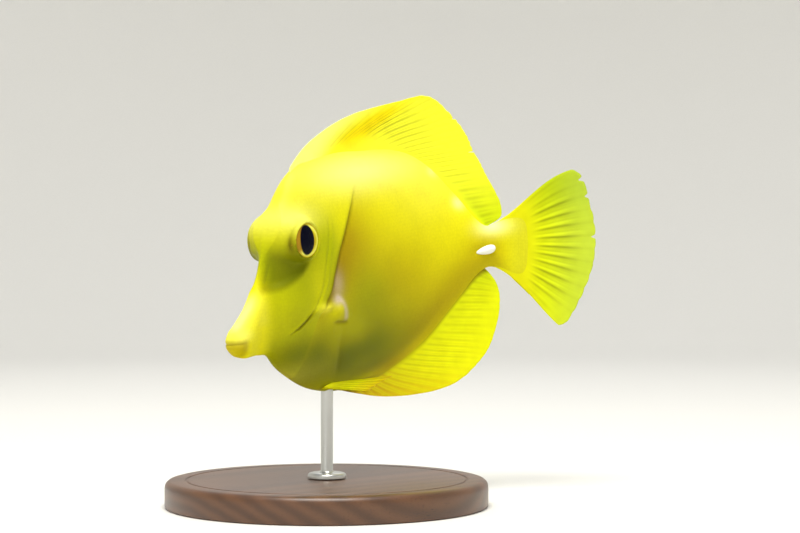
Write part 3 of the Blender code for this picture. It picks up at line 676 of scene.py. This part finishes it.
def pectoralPlaces(u):
    start, run = np.array(pectoral["root"])
    turn, length = np.radians(pectoral["turn"](u)), pectoral["length"](u)
    way = np.stack([np.cos(turn), pectoral["outwards"](u), np.sin(turn)], -1)
    return start + run * u[:, None], pectoral["hub"] + way * length[:, None]


def pelvicPlaces(u):
    (start, run), (tip, tipRun) = np.array(pelvic["root"]), np.array(pelvic["tip"])
    return start + run * u[:, None], tip + tipRun * np.stack([u ** pelvic["tipPower"], u, u], -1)


def rayShape(phase, v, fin):
    # 1 on a ray and 0 in the folds beside it; a ray branches on its way to the margin
    away, branch = np.abs(phase - np.rint(phase)), fin["branch"]
    folds = groove(0.5 - away, fin["fold"]) + branch * between(0.2, 0.4, v) * groove(away, 0.1)
    return 1 - np.clip(folds + branch * between(0.6, 0.85, v) * groove(away - 0.25, 0.06), 0, 1)


def finReach(phase, v, fin):
    # how far out each place lies: the margin is a little uneven, cut in between the rays, and torn
    short = fin["scallop"] * groove(0.5 - np.abs(phase - np.rint(phase)), 0.2)
    short = short + 0.003 * np.sin(1.9 * phase) * np.sin(3.1 * phase)
    for at, depth, width in fin["notches"]:
        short = short + depth * groove(phase - at, width)
    return v * (1 - short * between(0.6, 1, v))


def finMasks(fin, place, u, v, ray):
    masks = skinMasks(*place.T)
    rootShade = masks.pop("foot")
    x, z = place[:, 0], place[:, 2]
    if fin is not caudal and fin is not pectoral:
        masks.update({name: 0 * u for name in ("warm", "paintedShade", "green", "dark")})
    if fin is dorsal:
        slant = fin["slant"]
        above = z - slant["z"] - slant["slope"] * (x - slant["x"])
        warm = sum(strength * groove(above - height, width) * groove(x - at, reach)
                   for strength, height, width, at, reach in fin["warmFoldShade"])
        # pale painted highlight, strong along the dorsal fin's front edge and faint over most of the rest
        paintedHighlight = 0.9 * (1 - between(0.08, 0.24, u)) + 0.16 * (1 - between(0.75, 1, u))
        masks.update({"warm": warm, "paintedHighlight": paintedHighlight * np.clip(1 - 2.6 * warm, 0, 1)})
        masks["green"] = 0.5 * between(0.72, 1, u) * between(0.06, 0.3, v)
    if fin is anal:
        # olive painted shade on the anal fin's root, next to the body
        masks["paintedShade"] = rootShade
        masks["warm"] = 0.8 * (1 - between(0.1, 0.45, u)) * (1 - 0.6 * ray)
        masks["green"] = 0.04 + 0.18 * between(0.4, 0.8, u) + 0.2 * between(0.8, 1, u)
    if fin is caudal:
        # the root takes the colour of the skin that it comes out of, its painted shade included, and
        # further out and on the upper lobe there is a little more painted shade
        root, outer = 1 - between(107, 116, x), between(112, 127, x)
        upper = hills(x, z, [(1, (118, 17), (14, 8))])
        masks["paintedShade"] = 0.08 * root + 0.08 * between(112, 126, x) + 0.2 * upper
        masks["warm"] = 0.2 * root
        masks["green"] = np.clip(0.2 + 0.16 * between(106, 114, x) + 0.42 * outer + 0.3 * upper, 0, 1)
        masks["paintedHighlight"] = 0.2 * outer
    if fin is pelvic:
        masks["warm"] = 0.3 * between(0.5, 0.8, v) + 0.3 * between(0.82, 1, v)
    return masks


def makeFin(name, fin, placesAt, side=1):
    piece, u, v, face = addSheet(name, (fin["rays"] - 1) * fin["perRay"], fin["rows"])
    mirror = (1, side, 1)
    root, tip = (places * mirror for places in placesAt(u))
    # across is square to the first and the last ray
    endRoots, endTips = placesAt(np.array([0.0, 1.0]))
    across = np.cross(*((endTips - endRoots) * mirror))
    across = across / np.linalg.norm(across)
    phase = u * (fin["rays"] - 1)
    firm = fin["lines"](u, v)
    ray = rayShape(phase, v, fin)
    reach = finReach(phase, v, fin)
    # a ray bows by a share of its length: the early and the late hump are both 4 / 27 high
    run = tip - root
    bow = np.cross(run, across) * (27 / 4 * np.sign(across[1]))
    humps = fin["early"](u) * reach * (1 - reach) ** 2 + fin["late"](u) * reach * reach * (1 - reach)
    place = root + run * reach[:, None] + bow * humps[:, None]
    rounded = 1 - np.sqrt(1 - (2 * u - 1) ** 2 + 1e-6)
    half = fin["half"](v) * (1 - rounded * fin["round"](v)) + fin["ridge"] * (ray - 0.6) * firm
    pleat = fin["pleat"] * np.cos(2 * math.pi * phase) * firm
    place = place + across * (pleat + face * half)[:, None]
    writePlaces(piece, onStand(place))
    masks = finMasks(fin, place, u, v, ray)
    masks.update({"ray": 1 - (1 - ray) * firm * fin["contrast"], "straight": place})
    writeMasks(piece, masks)
    return piece


# the eyes and the tail spines

def makeEye(name, side):
    ball, pupil = eye["ball"], eye["pupil"]
    piece, row, column = addBall(name, ball["columns"], ball["rows"])
    way = row / ball["rows"] * math.pi
    spoke = column / ball["columns"] * 2 * math.pi
    away = ball["radius"] * np.sin(way)
    x = eye["x"] + away * np.cos(spoke)
    z = eye["z"] + away * np.sin(spoke)
    y = ball["centre"] + ball["depth"] * np.cos(way) + math.tan(eye["turn"]) * (x - eye["x"])
    writePlaces(piece, onStand(np.stack([x, side * y, z], -1)))
    inner = np.where(np.cos(way) > 0, 0, 10)  # keeps the pupil off the half that faces the head
    acrossPupil = np.hypot((x - pupil["x"]) / pupil["radii"][0], (z - pupil["z"]) / pupil["radii"][1])
    front = between(-0.2, 0.6, -np.cos(spoke)) * between(-0.9, -0.5, np.sin(spoke))
    writeMasks(piece, {"iris": away + inner, "pupil": acrossPupil + inner, "front": front})
    return piece


tailSpine = {
    "x": 96, "z": -1.4, "length": 6, "height": 2.7, "halfDepth": 1, "columns": 96, "rows": 64,
    "fullness": 0.9, "taper": 0.28,  # fuller at its hinge than at its point
    "widestGirth": 0.85, "tilt": 0.12, "flatness": 0.35, "sunk": 0.1,
}


def makeTailSpine(name, side):
    # a blade hinged at its rear, with its point forward
    piece, row, column = addBall(name, tailSpine["columns"], tailSpine["rows"])
    way = row / tailSpine["rows"] * math.pi
    spoke = column / tailSpine["columns"] * 2 * math.pi
    rear = 1 - tailSpine["taper"] * (1 + np.cos(way))
    girth = np.sin(way) ** tailSpine["fullness"] * rear / tailSpine["widestGirth"]
    x = tailSpine["x"] - tailSpine["length"] / 2 * np.cos(way)
    across = np.cos(spoke)
    z = (tailSpine["z"] + tailSpine["height"] / 2 * girth * across
         + tailSpine["tilt"] * (x - tailSpine["x"]))
    depth = tailSpine["halfDepth"] * girth * np.sin(spoke) * (1 - tailSpine["flatness"] * across ** 2)
    y = body["halfWidth"](tailSpine["x"]) - tailSpine["sunk"] + depth
    straight = np.stack([x, side * y, z], -1)
    writePlaces(piece, onStand(straight))
    writeMasks(piece, {"straight": straight})
    return piece


# the stand

stand = {  # half profiles: radius and height in millimetres
    "base": [(0, 7), (36, 7), (36.2, 6.7), (36.6, 6.7), (36.8, 7), (40.2, 7), (41, 6.8),
             (41.6, 6.3), (41.9, 5.7), (42, 5), (42, 0.6), (41.8, 0.2), (41.4, 0), (0, 0)],
    "baseSteps": 160,
    "rod": [(0, 34.7), (1.3, 34.7), (1.6, 34.4), (1.6, 9.3), (1.75, 8.9), (2.1, 8.7), (4, 8.68),
            (4.6, 8.5), (4.9, 8.2), (5, 7.8), (5, 7.3), (0, 7.3)],
    "rodSteps": 96,
    "smoothAngle": 40,
}


def makeTurned(name, profile, steps):
    # the half profile is drawn by extruding one vertex from point to point, and spun round z
    bpy.ops.object.select_all(action="DESELECT")
    first = Vector((profile[0][0], 0, profile[0][1])) * pose["unit"]
    bpy.ops.mesh.primitive_plane_add(size=0.001)
    piece = bpy.context.object
    piece.name = name
    bpy.ops.object.mode_set(mode="EDIT")
    bpy.ops.mesh.select_all(action="SELECT")
    bpy.ops.mesh.merge(type="CENTER")
    bpy.ops.transform.translate(value=first)
    for (r, z), (nextR, nextZ) in zip(profile, profile[1:]):
        step = Vector((nextR - r, 0, nextZ - z)) * pose["unit"]
        bpy.ops.mesh.extrude_region_move(TRANSFORM_OT_translate={"value": step})
    bpy.ops.mesh.select_all(action="SELECT")
    bpy.ops.mesh.spin(steps=steps, angle=2 * math.pi, center=(0, 0, 0), axis=(0, 0, 1))
    bpy.ops.mesh.select_all(action="SELECT")
    bpy.ops.mesh.remove_doubles(threshold=0.00001)
    bpy.ops.mesh.normals_make_consistent(inside=False)
    bpy.ops.object.mode_set(mode="OBJECT")
    return piece


# materials

def tintedYellow(tree, finish):
    # the yellow of the living fish, tinted by its masks
    # the tints carry painted shade and painted highlights besides the fish's own warm, green and pearly
    # tones
    colour = None
    for name, strength in finish["tints"]:
        mask = addNode(tree, "ShaderNodeAttribute", {"attribute_name": name})
        amount = addNode(tree, "ShaderNodeMath", {"operation": "MULTIPLY", 1: strength},
                         {0: mask.outputs["Fac"]})
        mix = addNode(tree, "ShaderNodeMix",
                      {"data_type": "RGBA", 6: linear(finish["yellow"]), 7: linear(finish[name])},
                      {0: amount.outputs[0]} if colour is None else {0: amount.outputs[0], 6: colour})
        colour = mix.outputs[2]
    return colour


def mottledYellow(tree, shader, finish, place, factor):
    # the tinted yellow goes into the shader a little mottled, and darker or lighter by one more factor
    mottle = addNode(tree, "ShaderNodeTexNoise", finish["mottle"], {"Vector": place})
    low, high = finish["mottleShade"]
    shade = addNode(tree, "ShaderNodeMapRange",
                    {"From Min": 0.3, "From Max": 0.7, "To Min": low, "To Max": high},
                    {"Value": mottle.outputs["Fac"]})
    both = addNode(tree, "ShaderNodeMath", {"operation": "MULTIPLY"},
                   {0: shade.outputs[0], 1: factor.outputs[0]})
    shaded = addNode(tree, "ShaderNodeVectorMath", {"operation": "SCALE"},
                     {0: tintedYellow(tree, finish), "Scale": both.outputs[0]})
    tree.links.new(shaded.outputs[0], shader.inputs["Base Color"])


# the olive tint is painted shade, the pale tint painted highlight, the dark tint painted shade in creases,
# and the green tint partly painted shade
skinFinish = {
    "yellow": "ece40c", "warm": "8e6600", "green": "7f9000", "paintedShade": "3b4c00", "paintedHighlight": "ffffa1",
    "pearl": "dcc8b8", "dark": "5c4a00",
    "tints": [("warm", 1), ("green", 1), ("paintedShade", 1), ("paintedHighlight", 1), ("pearl", 0.8), ("dark", 0.85)],
    "scale": 0.55,  # width of a scale in millimetres
    "mottle": {"Scale": 0.16, "Detail": 5.0, "Roughness": 0.6}, "mottleShade": (0.97, 1.03),
    "shader": {"Roughness": 0.48, "IOR": 1.34, "Specular IOR Level": 0.12, "Subsurface Weight": 0.12,
               "Subsurface Radius": (1.0, 0.8, 0.15), "Subsurface Scale": 0.0012, "Coat Weight": 0.03,
               "Coat Roughness": 0.25},
}


def makeSkinMaterial():
    # fish skin under a clear film: tiny rough-edged scales break its gloss into a soft sheen, and its
    # yellow is a little mottled in patches of about 6 mm and carries painted shade and painted highlights
    material, tree, shader = newMaterial("scaledFishSkin", skinFinish["shader"])
    place = addNode(tree, "ShaderNodeAttribute", {"attribute_name": "straight"}).outputs["Vector"]
    width = skinFinish["scale"]
    cells = addNode(tree, "ShaderNodeMapping", {"Scale": (1 / width, 0.6, 0.62 / width)}, {"Vector": place})
    scales = addNode(tree, "ShaderNodeTexVoronoi", {"Scale": 1.0, "Randomness": 0.55},
                     {"Vector": cells.outputs[0]})
    scaleShade = addNode(tree, "ShaderNodeMapRange",
                         {"From Max": 0.8, "To Min": 1.03, "To Max": 0.93},
                         {"Value": scales.outputs["Distance"]})
    mottledYellow(tree, shader, skinFinish, place, scaleShade)
    bump = addNode(tree, "ShaderNodeBump", {"Strength": 0.35, "Distance": 0.00006, "invert": True},
                   {"Height": scales.outputs["Distance"]})
    tree.links.new(bump.outputs[0], shader.inputs["Normal"])
    return material


# the olive tint is painted shade at the fin roots, the pale tint painted highlight, and the folds between
# the rays are darkened with painted shade
finFinish = {
    "yellow": "f4f408", "warm": "eca400", "green": "8cbc10", "paintedShade": "8c7800", "paintedHighlight": "fdfc84",
    "tints": [("warm", 0.8), ("green", 0.9), ("paintedShade", 0.9), ("paintedHighlight", 0.85)],
    # foldShade is painted shade of the skin in the folds between the rays
    "foldShade": 0.54,  # of the skin between the rays
    "mottle": {"Scale": 0.25, "Detail": 4.0}, "mottleShade": (0.95, 1.04),
    "clear": None,
    "shader": {"Roughness": 0.48, "IOR": 1.36, "Specular IOR Level": 0.16, "Subsurface Weight": 0.25,
               "Subsurface Radius": (1.0, 0.85, 0.15), "Subsurface Scale": 0.001},
}
clearFinFinish = dict(finFinish, yellow="b8bc28", tints=[("paintedHighlight", 0.3)], clear=(0.003, 0.014))


def makeFinMaterial(name, finish):
    # thin skin between branching rays, lighter on the rays and darkened with painted shade in the folds
    # between them;
    # the pectoral fins are all but clear, so only a breath of their rays shows
    material, tree, shader = newMaterial(name, finish["shader"])
    place = addNode(tree, "ShaderNodeAttribute", {"attribute_name": "straight"}).outputs["Vector"]
    ray = addNode(tree, "ShaderNodeAttribute", {"attribute_name": "ray"}).outputs["Fac"]
    rayShade = addNode(tree, "ShaderNodeMapRange", {"To Min": finish["foldShade"], "To Max": 1.03},
                       {"Value": ray})
    mottledYellow(tree, shader, finish, place, rayShade)
    if finish["clear"]:
        low, high = finish["clear"]
        alpha = addNode(tree, "ShaderNodeMapRange", {"To Min": low, "To Max": high}, {"Value": ray})
        tree.links.new(alpha.outputs[0], shader.inputs["Alpha"])
    return material


eyeFinish = {
    "pupil": "030416", "front": "a8801e",
    "iris": [(0.0, "c4ac1c"), (0.25, "e6dc34"), (0.6, "f6f46c"), (0.82, "e6d02c"), (0.92, "c8900c"),
             (1.0, "6e600c")],
    "irisSpan": (2.6, 4.5),  # from the pupil's edge to the lids, in millimetres
}


def makeEyeMaterial():
    # a wet cornea over a blue-black pupil and a pale yellow ring that turns orange at both edges
    material, tree, shader = newMaterial(
        "glossyCornea", {"Roughness": 0.05, "IOR": 1.25, "Specular IOR Level": 0.2})
    pupil, iris, front = [addNode(tree, "ShaderNodeAttribute", {"attribute_name": mask}).outputs["Fac"]
                          for mask in ("pupil", "iris", "front")]
    inner, outer = eyeFinish["irisSpan"]
    across = addNode(tree, "ShaderNodeMapRange", {"From Min": inner, "From Max": outer}, {"Value": iris})
    ramp = addNode(tree, "ShaderNodeValToRGB", {}, {"Fac": across.outputs[0]})
    elements = ramp.color_ramp.elements
    while len(elements) < len(eyeFinish["iris"]):
        elements.new(0.5)
    for element, (at, colour) in zip(elements, eyeFinish["iris"]):
        element.position = at
        element.color = linear(colour)
    ring = addNode(tree, "ShaderNodeMix", {"data_type": "RGBA", 7: linear(eyeFinish["front"])},
                   {0: front, 6: ramp.outputs["Color"]})
    edge = addNode(tree, "ShaderNodeMapRange", {"From Min": 0.93, "From Max": 1.03}, {"Value": pupil})
    mix = addNode(tree, "ShaderNodeMix", {"data_type": "RGBA", 6: linear(eyeFinish["pupil"])},
                  {0: edge.outputs[0], 7: ring.outputs[2]})
    tree.links.new(mix.outputs[2], shader.inputs["Base Color"])
    return material


def makeSpineMaterial():
    # bone-white blade under thin skin, with faint streaks 0.3 mm wide along it
    material, tree, shader = newMaterial("boneWhite", {"Roughness": 0.3, "IOR": 1.5})
    place = addNode(tree, "ShaderNodeAttribute", {"attribute_name": "straight"}).outputs["Vector"]
    streaks = addNode(tree, "ShaderNodeMapping", {"Scale": (0.5, 3.0, 3.0)}, {"Vector": place})
    noise = addNode(tree, "ShaderNodeTexNoise", {"Scale": 1.0, "Detail": 3.0},
                    {"Vector": streaks.outputs[0]})
    mix = addNode(tree, "ShaderNodeMix", {"data_type": "RGBA", 6: linear("fafcfa"), 7: linear("eceee0")},
                  {0: noise.outputs["Fac"]})
    tree.links.new(mix.outputs[2], shader.inputs["Base Color"])
    return material


def makeWoodMaterial():
    # oiled walnut, sawn flat: dark growth rings 3.4 mm apart round a pith below it, and pores 0.2 mm
    # wide and 3 mm long along the grain, under a thin coat that dulls them
    material, tree, shader = newMaterial(
        "oiledWalnut", {"Roughness": 0.4, "IOR": 1.5, "Coat Weight": 0.25, "Coat Roughness": 0.3})
    place = addNode(tree, "ShaderNodeTexCoord").outputs["Object"]
    grain = addNode(tree, "ShaderNodeMapping", {"Location": (0.0, -3.96, 14.9), "Scale": (40, 330, 330)},
                    {"Vector": place})
    rings = addNode(tree, "ShaderNodeTexWave",
                    {"wave_type": "RINGS", "rings_direction": "X", "Scale": 0.28, "Distortion": 2.4,
                     "Detail": 3.0, "Detail Scale": 0.7}, {"Vector": grain.outputs[0]})
    pores = addNode(tree, "ShaderNodeMapping", {"Scale": (350, 6000, 6000)}, {"Vector": place})
    poreNoise = addNode(tree, "ShaderNodeTexNoise", {"Scale": 1.0, "Detail": 2.0},
                        {"Vector": pores.outputs[0]})
    wood = addNode(tree, "ShaderNodeMix", {"data_type": "RGBA", 6: linear("513420"), 7: linear("66432a")},
                   {0: rings.outputs["Fac"]})
    dark = addNode(tree, "ShaderNodeMapRange", {"From Min": 0.58, "From Max": 0.7, "To Max": 0.55},
                   {"Value": poreNoise.outputs["Fac"]})
    pored = addNode(tree, "ShaderNodeMix", {"data_type": "RGBA", 7: linear("24150c")},
                    {0: dark.outputs[0], 6: wood.outputs[2]})
    tree.links.new(pored.outputs[2], shader.inputs["Base Color"])
    bump = addNode(tree, "ShaderNodeBump", {"Strength": 0.3, "Distance": 0.0001, "invert": True},
                   {"Height": dark.outputs[0]})
    tree.links.new(bump.outputs[0], shader.inputs["Normal"])
    return material


def makeSteelMaterial():
    # stainless steel brushed round the rod, in rings 0.1 mm apart that spread its highlight along it
    material, tree, shader = newMaterial(
        "brushedStainlessSteel", {"Base Color": linear("cfcfcb"), "Metallic": 1.0})
    place = addNode(tree, "ShaderNodeTexCoord").outputs["Object"]
    lines = addNode(tree, "ShaderNodeMapping", {"Scale": (300, 300, 9000)}, {"Vector": place})
    noise = addNode(tree, "ShaderNodeTexNoise", {"Scale": 1.0, "Detail": 2.0}, {"Vector": lines.outputs[0]})
    rough = addNode(tree, "ShaderNodeMapRange", {"To Min": 0.22, "To Max": 0.42},
                    {"Value": noise.outputs["Fac"]})
    tree.links.new(rough.outputs[0], shader.inputs["Roughness"])
    bump = addNode(tree, "ShaderNodeBump", {"Strength": 0.15, "Distance": 0.00002},
                   {"Height": noise.outputs["Fac"]})
    tree.links.new(bump.outputs[0], shader.inputs["Normal"])
    return material


def makeFloorMaterial():
    # matt pale paper sweep, with a fleck of about a millimetre
    material, tree, shader = newMaterial("mattPaper", {"Roughness": 0.8})
    place = addNode(tree, "ShaderNodeTexCoord").outputs["Object"]
    noise = addNode(tree, "ShaderNodeTexNoise", {"Scale": 900.0, "Detail": 3.0}, {"Vector": place})
    shade = addNode(tree, "ShaderNodeMix", {"data_type": "RGBA", 6: linear("e4e3df"), 7: linear("eae9e6")},
                    {0: noise.outputs["Fac"]})
    tree.links.new(shade.outputs[2], shader.inputs["Base Color"])
    return material


skinMaterial = makeSkinMaterial()
finMaterial = makeFinMaterial("yellowFinMembrane", finFinish)
clearFinMaterial = makeFinMaterial("clearFinMembrane", clearFinFinish)
eyeMaterial = makeEyeMaterial()
spineMaterial = makeSpineMaterial()
print("materials made")

finishPiece(makeSkin(), skinMaterial, "trunk", "head", "tail", "gill_cover_left", "gill_cover_right")
print("skin made")

finishPiece(makeFin("dorsalFin", dorsal, medianPlaces(dorsal)), finMaterial, "dorsal_fin")
finishPiece(makeFin("analFin", anal, medianPlaces(anal)), finMaterial, "anal_fin")
finishPiece(makeFin("caudalFin", caudal, caudalPlaces), finMaterial, "caudal_fin")
for word, side in (("left", -1), ("right", 1)):
    end = word.capitalize()
    finishPiece(makeFin("pectoralFin" + end, pectoral, pectoralPlaces, side), clearFinMaterial,
                "pectoral_fin_" + word)
    finishPiece(makeFin("pelvicFin" + end, pelvic, pelvicPlaces, side), finMaterial, "pelvic_fin_" + word)
    finishPiece(makeEye("eye" + end, side), eyeMaterial, "eye_" + word)
    finishPiece(makeTailSpine("tailSpine" + end, side), spineMaterial, "tail_spine_" + word)
print("fins, eyes and tail spines made")

finishPiece(makeTurned("standBase", stand["base"], stand["baseSteps"]), makeWoodMaterial(), "stand_base",
            smoothAngle=stand["smoothAngle"])
finishPiece(makeTurned("standRod", stand["rod"], stand["rodSteps"]), makeSteelMaterial(), "stand_rod",
            smoothAngle=stand["smoothAngle"])
print("stand made")


# floor, light and camera

sweep = {"flat": 850, "bend": 450, "wall": 1500, "steps": 128}  # radii and height in millimetres
turns = np.radians(np.arange(-90, 1, 7.5))
rim = [(sweep["flat"] + sweep["bend"] * np.cos(turn), sweep["bend"] * (1 + np.sin(turn))) for turn in turns]
wallTop = (sweep["flat"] + sweep["bend"], sweep["wall"])
floor = makeTurned("floor", [(0, 0)] + rim + [wallTop], sweep["steps"])
bpy.ops.object.shade_smooth()
floor.data.materials.append(makeFloorMaterial())

lights = [  # name, place, size, watts, colour
    ("keyLight", (-0.22, -0.2, 0.95), 0.5, 11.5, "fffdf6"),
    ("sideLight", (-0.9, -0.3, 0.45), 0.7, 0.6, "f8faff"),
    ("backLight", (0.6, 0.5, 0.8), 0.6, 1.6, "f8faff"),
]
aim = Vector((0.0, 0.0, 0.065))
for name, place, size, watts, colour in lights:
    bpy.ops.object.light_add(type="AREA", location=place)
    lamp = bpy.context.object
    lamp.name = name
    lamp.data.size = size
    lamp.data.energy = watts
    lamp.data.color = linear(colour)[:3]
    lamp.rotation_euler = (aim - Vector(place)).to_track_quat("-Z", "Y").to_euler()

scene = bpy.context.scene
room = {"colour": "e9ebee", "strength": 0.45}
world = bpy.data.worlds.new("softRoom")
scene.world = world
world.use_nodes = True
background = world.node_tree.nodes["Background"]
background.inputs["Color"].default_value = linear(room["colour"])
background.inputs["Strength"].default_value = room["strength"]
scene.view_settings.view_transform = "Standard"

view = {"place": (-0.3485, -0.3879, 0.0622), "way": (0.695, 0.719, 0.0), "focal": 2002 / 800, "sensor": 36}
camera = bpy.data.objects.new("camera", bpy.data.cameras.new("camera"))
scene.collection.objects.link(camera)
camera.location = view["place"]
camera.rotation_euler = Vector(view["way"]).to_track_quat("-Z", "Y").to_euler()
camera.data.sensor_width = view["sensor"]
camera.data.lens = view["focal"] * view["sensor"]
camera.data.clip_start = 0.01
scene.camera = camera
print("floor, light and camera made")
